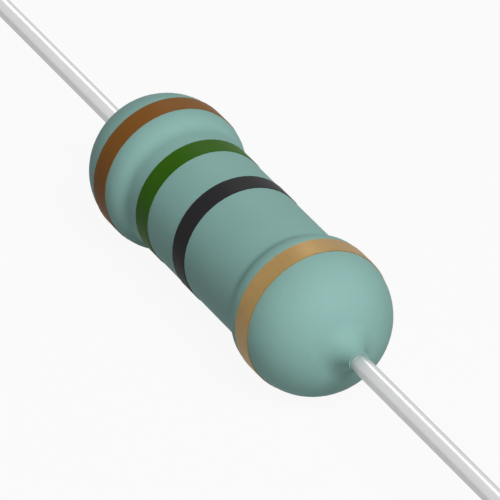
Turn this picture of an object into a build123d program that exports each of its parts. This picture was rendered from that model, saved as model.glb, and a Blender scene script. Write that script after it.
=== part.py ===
from build123d import *

import os
from math import acos, cos, hypot, pi, sin, sqrt

# Axial power resistor: a wire-wound ceramic rod with pressed end caps and welded leads, under a
# lacquer coat with four colour bands. Sizes are in millimetres. The body's centre is the origin,
# and +X runs along the leads, from the first band to the last.

# Leads: round tinned wire, butt-welded to the caps through a short upset foot. The tin is dipped
# on after the coat, so it thins out under the coat's skirt.
LEAD_DIAMETER = 0.8
LEAD_FREE_LENGTH = 28.0
LEAD_END_CHAMFER = 0.08
TIN_THICKNESS = 0.015
TIN_FEATHER_LENGTH = 0.8
WELD_FOOT_FLARE = 0.1
WELD_FOOT_HEIGHT = 0.2

# Ceramic rod, and the cups pressed on its ends.
ROD_DIAMETER = 4.8
ROD_LENGTH = 16.4
ROD_CHAMFER = 0.35
CAP_WALL = 0.3
CAP_LENGTH = 2.9
CAP_INNER_CORNER_RADIUS = 0.3

# Resistance wire, wound as one open helix from cap to cap. Each end climbs on to its cap.
WIRE_DIAMETER = 0.2
WINDING_TURNS = 28
WIRE_RIM_GAP = 0.05
TAIL_CLIMB_ANGLE = 40.0
TAIL_SHIFT_ANGLE = 70.0
TAIL_REACH_ON_CAP = 0.18
TAIL_SPLINE_POINTS = 15

# Lacquer coat: a straight waist over the winding, a bulb over each cap with a domed end, and a
# skirt where the lead comes out. Each bulb reaches its full size a little past its cap's rim.
COAT_OVER_WIRE = 0.205
COAT_OVER_CAP = 0.53
COAT_OVER_CAP_END = 1.155
BULB_START_PAST_RIM = 0.31
SHOULDER_CONVEX_RADIUS = 1.3
SHOULDER_CONCAVE_RADIUS = 0.78
DOME_RADIUS = 2.8
SKIRT_RADIUS = 1.2
SKIRT_LIP = 0.05

# Colour bands: rings of ink on the coat, all of one width. The outer two are set in from the
# starts of the bulbs' domes, the second from the waist's end, and the third from the middle.
BAND_WIDTH = 1.04
BAND_THICKNESS = 0.03
BROWN_BAND_INSET = 0.365
GREEN_BAND_INSET = 1.3
BLACK_BAND_OFFSET = 0.05
GOLD_BAND_INSET = 0.275

# Room left where one piece sits against another.
SEAT_CLEARANCE = 0.01

LEAD_RADIUS = LEAD_DIAMETER / 2
WIRE_RADIUS = WIRE_DIAMETER / 2
CAP_BORE_RADIUS = ROD_DIAMETER / 2 + SEAT_CLEARANCE
CAP_RADIUS = CAP_BORE_RADIUS + CAP_WALL
CAP_CORNER_RADIUS = CAP_INNER_CORNER_RADIUS + CAP_WALL
CAP_FACE_X = ROD_LENGTH / 2 + SEAT_CLEARANCE + CAP_WALL
CAP_RIM_X = CAP_FACE_X - CAP_LENGTH

COIL_RADIUS = ROD_DIAMETER / 2 + SEAT_CLEARANCE + WIRE_RADIUS
COIL_END_X = CAP_RIM_X - WIRE_RIM_GAP - WIRE_RADIUS
TAIL_RADIUS = CAP_RADIUS + SEAT_CLEARANCE + WIRE_RADIUS
TAIL_END_X = CAP_RIM_X + WIRE_RADIUS + TAIL_REACH_ON_CAP

WAIST_BORE_RADIUS = COIL_RADIUS + WIRE_RADIUS + SEAT_CLEARANCE
WAIST_RADIUS = WAIST_BORE_RADIUS + COAT_OVER_WIRE
BULB_RADIUS = CAP_RADIUS + SEAT_CLEARANCE + COAT_OVER_CAP
DOME_START_X = CAP_FACE_X + COAT_OVER_CAP_END - DOME_RADIUS
DOME_CENTRE_RADIUS = BULB_RADIUS - DOME_RADIUS
BULB_START_X = CAP_RIM_X + BULB_START_PAST_RIM
SHOULDER_REACH = SHOULDER_CONVEX_RADIUS + SHOULDER_CONCAVE_RADIUS
SHOULDER_TURN = acos(1 - (BULB_RADIUS - WAIST_RADIUS) / SHOULDER_REACH)
WAIST_END_X = BULB_START_X - SHOULDER_REACH * sin(SHOULDER_TURN)
SKIRT_CENTRE_RADIUS = LEAD_RADIUS + SKIRT_LIP + SKIRT_RADIUS
DOME_TO_SKIRT = DOME_RADIUS + SKIRT_RADIUS
SKIRT_RISE = SKIRT_CENTRE_RADIUS - DOME_CENTRE_RADIUS
SKIRT_END_X = DOME_START_X + sqrt(DOME_TO_SKIRT**2 - SKIRT_RISE**2)

BAND_PLACES = {
    "brown_band": BROWN_BAND_INSET - DOME_START_X,
    "green_band": GREEN_BAND_INSET - WAIST_END_X,
    "black_band": BLACK_BAND_OFFSET,
    "gold_band": DOME_START_X - GOLD_BAND_INSET,
}


def spin(outline):
    """Revolves a closed outline, drawn as x along the leads and y as radius, about the X axis."""
    return revolve(make_face(outline), Axis.X)


def chain(*points):
    """Straight edges through the points."""
    return [Line(a, b) for a, b in zip(points, points[1:])]


def arc_about(centre, start, end):
    """The short arc from start to end about centre."""
    middle = ((start[0] + end[0]) / 2 - centre[0], (start[1] + end[1]) / 2 - centre[1])
    reach = hypot(start[0] - centre[0], start[1] - centre[1]) / hypot(*middle)
    return ThreePointArc(start, (centre[0] + middle[0] * reach, centre[1] + middle[1] * reach), end)


def both_ends(half):
    """Joins a half, which lies on +X, to its mirror image."""
    return half + mirror(half, Plane.YZ)


def coat_surface(grow=0.0):
    """The coat's outer line from its middle to the lip on the lead, moved outwards by grow."""
    waist = WAIST_RADIUS + grow
    bulb = BULB_RADIUS + grow
    convex = SHOULDER_CONVEX_RADIUS + grow
    concave = SHOULDER_CONCAVE_RADIUS - grow
    concave_centre = (WAIST_END_X, waist + concave)
    convex_centre = (BULB_START_X, bulb - convex)
    waist_end = (WAIST_END_X, waist)
    flex = (WAIST_END_X + concave * sin(SHOULDER_TURN), waist + concave * (1 - cos(SHOULDER_TURN)))
    bulb_start = (BULB_START_X, bulb)
    dome_start = (DOME_START_X, bulb)
    share = (DOME_RADIUS + grow) / DOME_TO_SKIRT
    skirt_start = (
        DOME_START_X + (SKIRT_END_X - DOME_START_X) * share,
        DOME_CENTRE_RADIUS + SKIRT_RISE * share,
    )
    lip = (SKIRT_END_X, LEAD_RADIUS + SKIRT_LIP + grow)
    return [
        Line((0, waist), waist_end),
        arc_about(concave_centre, waist_end, flex),
        arc_about(convex_centre, flex, bulb_start),
        Line(bulb_start, dome_start),
        arc_about((DOME_START_X, DOME_CENTRE_RADIUS), dome_start, skirt_start),
        arc_about((SKIRT_END_X, SKIRT_CENTRE_RADIUS), skirt_start, lip),
    ]


def coat_bore():
    """The coat's inner line from the lip on the lead back to its middle, round all that it holds."""
    face_x = CAP_FACE_X + SEAT_CLEARANCE
    cap_radius = CAP_RADIUS + SEAT_CLEARANCE
    lead_radius = LEAD_RADIUS + SEAT_CLEARANCE
    corner = CAP_CORNER_RADIUS + SEAT_CLEARANCE
    corner_start = (face_x, cap_radius - corner)
    corner_end = (face_x - corner, cap_radius)
    tail_radius = TAIL_RADIUS + WIRE_RADIUS + SEAT_CLEARANCE
    tail_start_x = COIL_END_X - WIRE_RADIUS - SEAT_CLEARANCE
    tail_end_x = TAIL_END_X + WIRE_RADIUS + SEAT_CLEARANCE
    down_the_lead = chain(
        (SKIRT_END_X, lead_radius),
        (face_x + WELD_FOOT_HEIGHT, lead_radius),
        (face_x, lead_radius + WELD_FOOT_FLARE),
        corner_start,
    )
    along_the_rod = chain(
        corner_end,
        (tail_end_x, cap_radius),
        (tail_end_x, tail_radius),
        (tail_start_x, tail_radius),
        (tail_start_x, WAIST_BORE_RADIUS),
        (0, WAIST_BORE_RADIUS),
    )
    cap_corner = arc_about((face_x - corner, cap_radius - corner), corner_start, corner_end)
    return down_the_lead + [cap_corner] + along_the_rod


def build_coating():
    lip = Line((SKIRT_END_X, LEAD_RADIUS + SKIRT_LIP), (SKIRT_END_X, LEAD_RADIUS + SEAT_CLEARANCE))
    middle = Line((0, WAIST_BORE_RADIUS), (0, WAIST_RADIUS))
    return both_ends(spin(coat_surface() + [lip] + coat_bore() + [middle]))


def coat_envelope(grow=0.0):
    """Everything inside the coat's outer surface, moved outwards by grow."""
    lip = (SKIRT_END_X, LEAD_RADIUS + SKIRT_LIP + grow)
    inside = chain(lip, (SKIRT_END_X, 0), (0, 0), (0, WAIST_RADIUS + grow))
    return both_ends(spin(coat_surface(grow) + inside))


def build_band(place):
    slab = Pos(place, 0, 0) * Box(BAND_WIDTH, 4 * BULB_RADIUS, 4 * BULB_RADIUS)
    return (coat_envelope(BAND_THICKNESS) & slab) - coat_envelope()


def build_ceramic_rod():
    rod = Rot(0, 90, 0) * Cylinder(ROD_DIAMETER / 2, ROD_LENGTH)
    return chamfer(rod.edges().filter_by(GeomType.CIRCLE), ROD_CHAMFER)


def build_right_cap():
    inner_face_x = CAP_FACE_X - CAP_WALL
    corner_centre = (CAP_FACE_X - CAP_CORNER_RADIUS, CAP_RADIUS - CAP_CORNER_RADIUS)
    outer_start = (CAP_FACE_X, corner_centre[1])
    outer_end = (corner_centre[0], CAP_RADIUS)
    inner_start = (corner_centre[0], CAP_BORE_RADIUS)
    inner_end = (inner_face_x, corner_centre[1])
    return spin(
        chain((inner_face_x, 0), (CAP_FACE_X, 0), outer_start)
        + [arc_about(corner_centre, outer_start, outer_end)]
        + chain(outer_end, (CAP_RIM_X, CAP_RADIUS), (CAP_RIM_X, CAP_BORE_RADIUS), inner_start)
        + [arc_about(corner_centre, inner_start, inner_end)]
        + chain(inner_end, (inner_face_x, 0))
    )


def build_right_lead():
    tip_x = SKIRT_END_X + LEAD_FREE_LENGTH
    bare_radius = LEAD_RADIUS - TIN_THICKNESS
    return spin(
        chain(
            (CAP_FACE_X, 0),
            (tip_x, 0),
            (tip_x, LEAD_RADIUS - LEAD_END_CHAMFER),
            (tip_x - LEAD_END_CHAMFER, LEAD_RADIUS),
            (SKIRT_END_X, LEAD_RADIUS),
            (SKIRT_END_X - TIN_FEATHER_LENGTH, bare_radius),
            (CAP_FACE_X + WELD_FOOT_HEIGHT, bare_radius),
            (CAP_FACE_X, bare_radius + WELD_FOOT_FLARE),
            (CAP_FACE_X, 0),
        )
    )


def smooth_step(share):
    return share * share * (3 - 2 * share)


def tail_path(coil_end, start_angle, pitch, way):
    """The wire's last stretch, from the coil's end up on to the cap. way is 1 at +X and -1 at -X."""
    climb = TAIL_CLIMB_ANGLE * pi / 180
    shift = TAIL_SHIFT_ANGLE * pi / 180
    points = []
    for index in range(TAIL_SPLINE_POINTS):
        turned = (climb + shift) * index / (TAIL_SPLINE_POINTS - 1)
        radius = COIL_RADIUS + (TAIL_RADIUS - COIL_RADIUS) * smooth_step(min(turned / climb, 1))
        along = (TAIL_END_X - COIL_END_X) * smooth_step(max(turned - climb, 0) / shift)
        angle = start_angle + way * turned
        points.append((coil_end.X + way * along, radius * cos(angle), radius * sin(angle)))
    rise = pitch / (2 * pi * COIL_RADIUS)
    start_tangent = Vector(way * rise, -way * sin(start_angle), way * cos(start_angle)).normalized()
    end_tangent = Vector(0, -way * sin(angle), way * cos(angle))
    return Spline(*points, tangents=[start_tangent, end_tangent])


def wire_along(path, is_frenet):
    section = Plane(path @ 0, z_dir=path % 0) * Circle(WIRE_RADIUS)
    return sweep(section, path=path, is_frenet=is_frenet)


def build_winding():
    length = 2 * COIL_END_X
    pitch = length / WINDING_TURNS
    coil_path = Pos(-COIL_END_X, 0, 0) * Rot(0, 90, 0) * Helix(pitch, length, COIL_RADIUS)
    winding = wire_along(coil_path, True)
    for way, coil_end in ((1, coil_path @ 1), (-1, coil_path @ 0)):
        outwards = Vector(0, coil_end.Y, coil_end.Z)
        start_angle = Vector(0, 1, 0).get_signed_angle(outwards, Vector(1, 0, 0)) * pi / 180
        winding += wire_along(tail_path(coil_end, start_angle, pitch, way), False)
    return winding


def main():
    right_cap = build_right_cap()
    right_lead = build_right_lead()
    nodes = {
        "ceramic_rod": build_ceramic_rod(),
        "resistance_winding": build_winding(),
        "right_end_cap": right_cap,
        "left_end_cap": mirror(right_cap, Plane.YZ),
        "right_lead": right_lead,
        "left_lead": mirror(right_lead, Plane.YZ),
        "coating": build_coating(),
    }
    for name, place in BAND_PLACES.items():
        nodes[name] = build_band(place)
    os.makedirs("parts", exist_ok=True)
    for name, shape in nodes.items():
        export_step(shape, f"parts/{name}.step")


main()
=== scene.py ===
"""Axial power resistor: finishes for the packed parts, and a pale studio stage to show them on.

Run as a script, the file loads the packed model, gives each part its finish, and sets the floor,
the lamp and the camera. Lengths are in metres unless a name says mm.
"""

import math

import bpy
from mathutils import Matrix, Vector


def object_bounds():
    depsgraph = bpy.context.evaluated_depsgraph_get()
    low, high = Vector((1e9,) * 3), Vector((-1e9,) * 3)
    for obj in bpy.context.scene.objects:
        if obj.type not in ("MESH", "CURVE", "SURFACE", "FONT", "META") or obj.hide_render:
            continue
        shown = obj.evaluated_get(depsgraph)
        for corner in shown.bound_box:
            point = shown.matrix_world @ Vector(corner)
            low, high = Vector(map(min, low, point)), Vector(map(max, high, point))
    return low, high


bl_info = {
    "name": "Axial power resistor",
    "version": (1, 0, 0),
    "blender": (4, 5, 0),
    "location": "3D View > Sidebar > Resistor",
    "description": "Finishes and a studio stage for an axial power resistor",
    "category": "Object",
}

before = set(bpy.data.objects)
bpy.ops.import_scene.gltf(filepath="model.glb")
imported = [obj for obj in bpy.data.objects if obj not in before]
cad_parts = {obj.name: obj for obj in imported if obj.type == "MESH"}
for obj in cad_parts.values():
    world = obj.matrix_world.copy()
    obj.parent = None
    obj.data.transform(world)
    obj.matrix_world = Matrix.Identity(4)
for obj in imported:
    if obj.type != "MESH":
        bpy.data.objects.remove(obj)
CAD_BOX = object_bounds()

MM = 0.001
WHITE = (1.0, 1.0, 1.0, 1.0)


# ---------------------------------------------------------------- shader helpers


class Term:
    """A node's output that takes part in Python arithmetic. Each operation adds a Math node."""

    def __init__(self, sheet, node, socket):
        self.sheet = sheet
        self.node = node
        self.socket = socket

    def other(self, name):
        """Another output of the same node."""
        return Term(self.sheet, self.node, self.sheet.find(self.node.outputs, name))

    def maths(self, operation, *values):
        return self.sheet.add("Math", {"operation": operation}, dict(enumerate(values)))

    def __add__(self, value):
        return self.maths("ADD", self, value)

    def __radd__(self, value):
        return self.maths("ADD", value, self)

    def __mul__(self, value):
        return self.maths("MULTIPLY", self, value)

    def __rmul__(self, value):
        return self.maths("MULTIPLY", value, self)

    def above(self, low, high):
        """0 where this is under low, 1 where it is over high, and a soft step between."""
        limits = {"Value": self, "From Min": low, "From Max": high}
        return self.sheet.add("MapRange", {"interpolation_type": "SMOOTHSTEP"}, limits)


class Finish:
    """The node sheet of a material, or of a world."""

    def __init__(self, name, is_world=False):
        self.owner = (bpy.data.worlds if is_world else bpy.data.materials).new(name)
        self.owner.use_nodes = True
        self.tree = self.owner.node_tree
        self.tree.nodes.clear()

    @staticmethod
    def find(sockets, name):
        """The socket with that name or number, among those that the node's settings leave on."""
        if isinstance(name, int):
            return sockets[name]
        return next(socket for socket in sockets if socket.name == name and socket.enabled)

    def add(self, kind, settings=None, inputs=None):
        """Adds a node: its settings first, then the values or links of its sockets."""
        node = self.tree.nodes.new("ShaderNode" + kind)
        for name, value in (settings or {}).items():
            setattr(node, name, value)
        for name, value in (inputs or {}).items():
            socket = self.find(node.inputs, name)
            if isinstance(value, Term):
                self.tree.links.new(value.socket, socket)
            else:
                socket.default_value = value
        shown = [socket for socket in node.outputs if socket.enabled]
        return Term(self, node, shown[0] if shown else None)

    def place(self, stretch=(1.0, 1.0, 1.0)):
        """The point on the part in millimetres from the body's centre, stretched per axis."""
        scale = tuple(share / MM for share in stretch)
        spot = self.add("TexCoord").other("Object")
        return self.add("VectorMath", {"operation": "MULTIPLY"}, {0: spot, 1: scale})

    def noise(self, place, per_mm, detail=2.0, roughness=0.5):
        """Soft noise from 0 to 1 with about that many lumps in a millimetre."""
        sockets = {"Vector": place, "Scale": per_mm, "Detail": detail, "Roughness": roughness}
        return self.add("TexNoise", {"noise_dimensions": "3D"}, sockets)

    def cells(self, place, per_mm):
        """A random colour for each small cell, as flakes have."""
        return self.add("TexVoronoi", {"feature": "F1"}, {"Vector": place, "Scale": per_mm}).other("Color")

    def mix(self, mask, low, high):
        """The colour low where mask is 0, and high where it is 1."""
        sockets = {"Factor": mask, "A": low, "B": high}
        return self.add("Mix", {"data_type": "RGBA", "clamp_factor": True}, sockets)

    def seen(self, *kinds):
        """1 where a ray of one of those kinds asks, and 0 where light is being gathered."""
        rays = self.add("LightPath")
        asked = rays.other(f"Is {kinds[0]} Ray")
        for kind in kinds[1:]:
            asked = asked.maths("MAXIMUM", asked, rays.other(f"Is {kind} Ray"))
        return asked

    def bump(self, height_mm):
        """A normal for a surface raised by that many millimetres."""
        return self.add("Bump", None, {"Height": height_mm, "Distance": MM, "Strength": 1.0})

    def skin(self, sockets):
        """Ends the sheet in a Principled shader."""
        shader = self.add("BsdfPrincipled", None, sockets)
        self.add("OutputMaterial", {"target": "ALL"}, {"Surface": shader})
        return self.owner


def tint(colour, factor):
    """A colour with its red, green and blue all multiplied by factor, and full alpha."""
    return tuple(min(channel * factor, 1.0) for channel in colour[:3]) + (1.0,)


def dress(node, material):
    """Gives a CAD node its finish."""
    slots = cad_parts[node].data.materials
    slots.clear()
    slots.append(material)


# ---------------------------------------------------------------- sizes and colours


def colour_property(name, description, default):
    return bpy.props.FloatVectorProperty(
        name=name, description=description, default=default, subtype="COLOR", size=3, min=0.0, max=1.0
    )


def share_property(name, description, default):
    return bpy.props.FloatProperty(
        name=name, description=description, default=default, subtype="FACTOR", min=0.0, max=1.0
    )


def length_property(name, description, default):
    return bpy.props.FloatProperty(
        name=name, description=description, default=default, subtype="DISTANCE", unit="LENGTH", precision=6
    )


def angle_property(name, description, degrees):
    return bpy.props.FloatProperty(
        name=name, description=description, default=math.radians(degrees), subtype="ANGLE", unit="ROTATION"
    )


def strength_property(name, description, default):
    return bpy.props.FloatProperty(name=name, description=description, default=default, min=0.0)


class LacquerSettings(bpy.types.PropertyGroup):
    """The fired lacquer coat."""

    colour: colour_property("Colour", "Lacquer colour", (0.283, 0.503, 0.462))
    clouding: share_property("Clouding", "How far the colour drifts over the body", 0.06)
    roughness: share_property("Roughness", "0 is wet gloss, 1 is chalk", 0.55)
    gloss: share_property("Gloss", "Strength of the reflection, 0.5 is plain lacquer", 0.08)
    lumps: length_property("Lumps", "Height of the slow unevenness left by dipping", 0.02 * MM)
    peel: length_property("Peel", "Height of the fine orange-peel texture", 0.002 * MM)


class BandSettings(bpy.types.PropertyGroup):
    """The printed colour bands."""

    brown: colour_property("Brown", "First band", (0.245, 0.098, 0.018))
    green: colour_property("Green", "Second band", (0.032, 0.118, 0.001))
    black: colour_property("Black", "Third band", (0.022, 0.020, 0.022))
    gold: colour_property("Gold", "Last band", (0.40, 0.245, 0.075))
    roughness: share_property("Roughness", "Roughness of the ink", 0.45)
    gloss: share_property("Gloss", "Strength of the reflection, 0.5 is plain ink", 0.05)
    shine: share_property("Shine", "How metallic the gold ink is", 0.55)
    flake: length_property("Flake", "Width of one metal flake in the gold ink", 0.04 * MM)


class LeadSettings(bpy.types.PropertyGroup):
    """The tinned leads."""

    colour: colour_property("Colour", "Tin colour", (0.65, 0.65, 0.655))
    roughness: share_property("Roughness", "Roughness of the tin", 0.3)
    streaks: length_property("Streaks", "Depth of the drawn streaks along the wire", 0.001 * MM)


class InsideSettings(bpy.types.PropertyGroup):
    """The parts under the coat."""

    ceramic: colour_property("Ceramic", "Ceramic rod", (0.80, 0.78, 0.73))
    wire: colour_property("Wire", "Resistance wire", (0.46, 0.43, 0.40))
    cap: colour_property("Cap", "Plated end cap", (0.66, 0.66, 0.64))


class StageSettings(bpy.types.PropertyGroup):
    """The floor, lamp and camera."""

    azimuth: angle_property("Azimuth", "Camera bearing, 0 looks along +Y", 62.81)
    elevation: angle_property("Elevation", "Camera height above the horizon", 30.87)
    distance: length_property("Distance", "Camera distance from the body", 304.31 * MM)
    aside: length_property("Aside", "How far right of the body's centre the camera aims", 0.471 * MM)
    below: length_property("Below", "How far below the body's centre the camera aims", 0.320 * MM)
    lens: bpy.props.FloatProperty(
        name="Lens", description="Focal length on a 36 mm sensor", default=526.9, min=1.0, unit="CAMERA"
    )
    floor: colour_property("Floor", "Floor colour", (0.5, 0.5, 0.5))
    floor_glow: share_property("Floor glow", "How much of the floor is shown as plain white", 0.93)
    floor_sheen: share_property("Floor sheen", "How much of that white shows in reflections", 0.6)
    floor_width: length_property("Floor width", "Side of the square floor", 6.0)
    floor_drop: length_property("Floor drop", "How far the floor lies below the bulbs", 0.0)
    ambient: share_property("Ambient", "Light from the room", 0.06)
    lamp_distance: length_property("Lamp distance", "Distance of both lamps from the body", 0.5)
    key: strength_property("Key", "Strength of the key lamp", 0.95)
    key_azimuth: angle_property("Key azimuth", "Bearing of the key lamp", 87.0)
    key_elevation: angle_property("Key elevation", "Height of the key lamp above the horizon", 49.0)
    key_width: length_property("Key width", "Side of the key lamp's square", 0.3)
    rim: strength_property("Rim", "Strength of the rim lamp, which streaks the leads from behind", 0.045)
    rim_azimuth: angle_property("Rim azimuth", "Bearing of the rim lamp", 246.7)
    rim_elevation: angle_property("Rim elevation", "Height of the rim lamp above the horizon", 33.8)
    rim_width: length_property("Rim width", "Side of the rim lamp's square", 0.1)


# ---------------------------------------------------------------- operators


class RESISTOR_OT_lacquer(bpy.types.Operator):
    """Give the coat its satin fired lacquer"""

    bl_idname = "resistor.lacquer"
    bl_label = "Lacquer coat"

    def execute(self, context):
        want = context.scene.resistor_lacquer
        sheet = Finish("fired_lacquer")
        place = sheet.place()
        clouds = sheet.noise(place, 0.5, detail=1.0)
        grain = sheet.noise(place, 16.0, detail=3.0, roughness=0.7)
        peel = sheet.noise(place, 4.0, detail=1.0)
        specks = sheet.noise(place, 7.0, detail=0.0).above(0.72, 0.78)
        drift = clouds * 0.7 + grain * 0.3
        base = sheet.mix(drift, tint(want.colour, 1 - want.clouding), tint(want.colour, 1 + want.clouding))
        base = sheet.mix(specks * 0.12, base, tint(want.colour, 0.6))
        height = clouds * (want.lumps / MM) + peel * (want.peel / MM) + grain * (0.3 * want.peel / MM)
        material = sheet.skin(
            {
                "Base Color": base,
                "Roughness": grain * 0.16 + (want.roughness - 0.08),
                "Specular IOR Level": want.gloss,
                "Normal": sheet.bump(height),
            }
        )
        dress("coating", material)
        return {"FINISHED"}


class RESISTOR_OT_bands(bpy.types.Operator):
    """Print the colour bands"""

    bl_idname = "resistor.bands"
    bl_label = "Colour bands"

    def execute(self, context):
        want = context.scene.resistor_bands
        for name in ("brown", "green", "black"):
            colour = getattr(want, name)
            sheet = Finish(name + "_ink")
            place = sheet.place()
            grain = sheet.noise(place, 18.0, detail=3.0, roughness=0.7)
            wash = sheet.noise(place, 1.2, detail=2.0)
            drift = wash * 0.6 + grain * 0.4
            material = sheet.skin(
                {
                    "Base Color": sheet.mix(drift, tint(colour, 0.88), tint(colour, 1.12)),
                    "Roughness": grain * 0.2 + (want.roughness - 0.1),
                    "Specular IOR Level": want.gloss,
                    "Normal": sheet.bump(grain * 0.0012),
                }
            )
            dress(name + "_band", material)
        sheet = Finish("gold_ink")
        place = sheet.place()
        flakes = sheet.cells(place, MM / want.flake)
        shine = sheet.add("SeparateColor", None, {"Color": flakes})
        wash = sheet.noise(place, 1.2, detail=2.0)
        material = sheet.skin(
            {
                "Base Color": sheet.mix(shine * 0.5 + wash * 0.5, tint(want.gold, 0.82), tint(want.gold, 1.2)),
                "Metallic": want.shine,
                "Roughness": shine * 0.16 + (want.roughness - 0.1),
                "Normal": sheet.bump(shine * 0.0015),
            }
        )
        dress("gold_band", material)
        return {"FINISHED"}


def bright_metal(name, colour, roughness, streaks_mm, stretch):
    """A plated or drawn metal, with streaks that run along the part's length."""
    sheet = Finish(name)
    streaks = sheet.noise(sheet.place(stretch), 1.0, detail=3.0, roughness=0.6)
    patches = sheet.noise(sheet.place(), 1.6, detail=2.0)
    return sheet.skin(
        {
            "Base Color": sheet.mix(patches * 0.6 + streaks * 0.4, tint(colour, 0.93), tint(colour, 1.07)),
            "Metallic": 1.0,
            "Roughness": patches * 0.1 + streaks * 0.1 + (roughness - 0.1),
            "Normal": sheet.bump(streaks * streaks_mm),
        }
    )


class RESISTOR_OT_leads(bpy.types.Operator):
    """Tin the two leads"""

    bl_idname = "resistor.leads"
    bl_label = "Leads"

    def execute(self, context):
        want = context.scene.resistor_leads
        tin = bright_metal("tinned_wire", want.colour, want.roughness, want.streaks / MM, (0.5, 14.0, 14.0))
        dress("left_lead", tin)
        dress("right_lead", tin)
        return {"FINISHED"}


class RESISTOR_OT_caps(bpy.types.Operator):
    """Plate the two end caps"""

    bl_idname = "resistor.caps"
    bl_label = "End caps"

    def execute(self, context):
        want = context.scene.resistor_inside
        plate = bright_metal("tin_plate", want.cap, 0.35, 0.002, (1.0, 8.0, 8.0))
        dress("left_end_cap", plate)
        dress("right_end_cap", plate)
        return {"FINISHED"}


class RESISTOR_OT_rod(bpy.types.Operator):
    """Give the rod its unglazed ceramic"""

    bl_idname = "resistor.rod"
    bl_label = "Ceramic rod"

    def execute(self, context):
        want = context.scene.resistor_inside
        sheet = Finish("unglazed_ceramic")
        place = sheet.place()
        grain = sheet.noise(place, 20.0, detail=4.0, roughness=0.7)
        specks = sheet.noise(place, 9.0, detail=1.0).above(0.68, 0.74)
        base = sheet.mix(grain, tint(want.ceramic, 0.92), tint(want.ceramic, 1.05))
        material = sheet.skin(
            {
                "Base Color": sheet.mix(specks * 0.5, base, tint(want.ceramic, 0.55)),
                "Roughness": grain * 0.2 + 0.65,
                "Normal": sheet.bump(grain * 0.006),
            }
        )
        dress("ceramic_rod", material)
        return {"FINISHED"}


class RESISTOR_OT_winding(bpy.types.Operator):
    """Give the winding its drawn resistance wire"""

    bl_idname = "resistor.winding"
    bl_label = "Resistance winding"

    def execute(self, context):
        want = context.scene.resistor_inside
        dress("resistance_winding", bright_metal("resistance_wire", want.wire, 0.4, 0.001, (20.0, 2.0, 2.0)))
        return {"FINISHED"}


def towards(azimuth, elevation):
    """The unit vector from the body to something at that bearing and height. Azimuth 0 is at -Y."""
    flat = math.cos(elevation)
    return Vector((math.sin(azimuth) * flat, -math.cos(azimuth) * flat, math.sin(elevation)))


def aim(thing, back):
    """Turns a lamp or a camera to look against the direction back, with no roll."""
    thing.rotation_mode = "QUATERNION"
    thing.rotation_quaternion = back.to_track_quat("Z", "Y")


def softbox(name, azimuth, elevation, distance, width, strength):
    """A square soft lamp. A strength of 1 lights a facing surface to the colour it is written in."""
    light = bpy.data.lights.new(name, "AREA")
    light.shape = "SQUARE"
    light.size = width
    light.energy = strength * math.pi * math.pi * distance**2
    lamp = bpy.data.objects.new(name, light)
    back = towards(azimuth, elevation)
    lamp.location = back * distance
    aim(lamp, back)
    bpy.context.scene.collection.objects.link(lamp)


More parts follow.
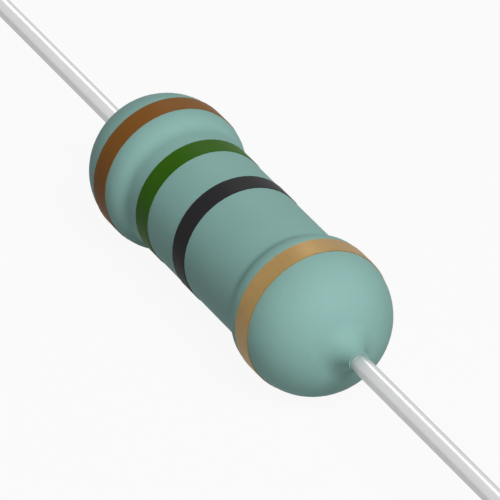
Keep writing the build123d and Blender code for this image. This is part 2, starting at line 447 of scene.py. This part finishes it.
class RESISTOR_OT_stage(bpy.types.Operator):
    """Set the floor, the lamp, the room and the camera"""

    bl_idname = "resistor.stage"
    bl_label = "Stage"

    def execute(self, context):
        want = context.scene.resistor_stage
        self.lay_floor(want)
        self.light_room(context.scene, want)
        softbox("key", want.key_azimuth, want.key_elevation, want.lamp_distance, want.key_width, want.key)
        softbox("rim", want.rim_azimuth, want.rim_elevation, want.lamp_distance, want.rim_width, want.rim)
        self.set_camera(context.scene, want)
        context.scene.view_settings.view_transform = "Standard"
        return {"FINISHED"}

    @staticmethod
    def lay_floor(want):
        half = want.floor_width / 2
        mesh = bpy.data.meshes.new("floor")
        corners = [(-half, -half, 0), (half, -half, 0), (half, half, 0), (-half, half, 0)]
        mesh.from_pydata(corners, [], [(0, 1, 2, 3)])
        floor = bpy.data.objects.new("floor", mesh)
        floor.location.z = CAD_BOX[0].z - want.floor_drop
        bpy.context.scene.collection.objects.link(floor)
        sheet = Finish("pale_floor")
        paint = sheet.add("BsdfDiffuse", None, {"Color": tint(want.floor, 1.0)})
        glow = sheet.add("Emission", None, {"Color": WHITE, "Strength": 1.0})
        seen = sheet.seen("Camera", "Transmission") + sheet.seen("Glossy") * want.floor_sheen
        both = sheet.add("MixShader", None, {0: seen * want.floor_glow, 1: paint, 2: glow})
        sheet.add("OutputMaterial", None, {"Surface": both})
        mesh.materials.append(sheet.owner)

    @staticmethod
    def light_room(scene, want):
        sheet = Finish("room", is_world=True)
        seen = sheet.seen("Camera", "Glossy", "Transmission")
        strength = sheet.add("MapRange", None, {"Value": seen, "To Min": want.ambient, "To Max": 1.0})
        back = sheet.add("Background", None, {"Color": WHITE, "Strength": strength})
        sheet.add("OutputWorld", None, {"Surface": back})
        scene.world = sheet.owner

    @staticmethod
    def set_camera(scene, want):
        back = towards(want.azimuth, want.elevation)
        right = Vector((math.cos(want.azimuth), math.sin(want.azimuth), 0.0))
        up = back.cross(right)
        lens = bpy.data.cameras.new("camera")
        lens.sensor_width = 36.0
        lens.lens = want.lens
        lens.clip_start = 0.01
        camera = bpy.data.objects.new("camera", lens)
        camera.location = right * want.aside - up * want.below + back * want.distance
        aim(camera, back)
        scene.collection.objects.link(camera)
        scene.camera = camera


OPERATORS = (
    RESISTOR_OT_lacquer,
    RESISTOR_OT_bands,
    RESISTOR_OT_leads,
    RESISTOR_OT_caps,
    RESISTOR_OT_rod,
    RESISTOR_OT_winding,
    RESISTOR_OT_stage,
)

SETTINGS = {
    "resistor_lacquer": LacquerSettings,
    "resistor_bands": BandSettings,
    "resistor_leads": LeadSettings,
    "resistor_inside": InsideSettings,
    "resistor_stage": StageSettings,
}


class RESISTOR_PT_parts(bpy.types.Panel):
    """Lists the resistor's sizes, colours and steps"""

    bl_idname = "RESISTOR_PT_parts"
    bl_label = "Axial power resistor"
    bl_space_type = "VIEW_3D"
    bl_region_type = "UI"
    bl_category = "Resistor"

    def draw(self, context):
        for operator in OPERATORS:
            self.layout.operator(operator.bl_idname)
        for name, group in SETTINGS.items():
            box = self.layout.box()
            box.label(text=group.__doc__)
            for setting in group.__annotations__:
                box.prop(getattr(context.scene, name), setting)


def register():
    for group in SETTINGS.values():
        bpy.utils.register_class(group)
    for operator in OPERATORS:
        bpy.utils.register_class(operator)
    bpy.utils.register_class(RESISTOR_PT_parts)
    for name, group in SETTINGS.items():
        setattr(bpy.types.Scene, name, bpy.props.PointerProperty(type=group))


def unregister():
    for name in SETTINGS:
        delattr(bpy.types.Scene, name)
    bpy.utils.unregister_class(RESISTOR_PT_parts)
    for operator in reversed(OPERATORS):
        bpy.utils.unregister_class(operator)
    for group in reversed(SETTINGS.values()):
        bpy.utils.unregister_class(group)


def main():
    register()
    bpy.ops.resistor.lacquer()
    bpy.ops.resistor.bands()
    bpy.ops.resistor.leads()
    bpy.ops.resistor.caps()
    bpy.ops.resistor.rod()
    bpy.ops.resistor.winding()
    bpy.ops.resistor.stage()


if __name__ == "__main__":
    main()
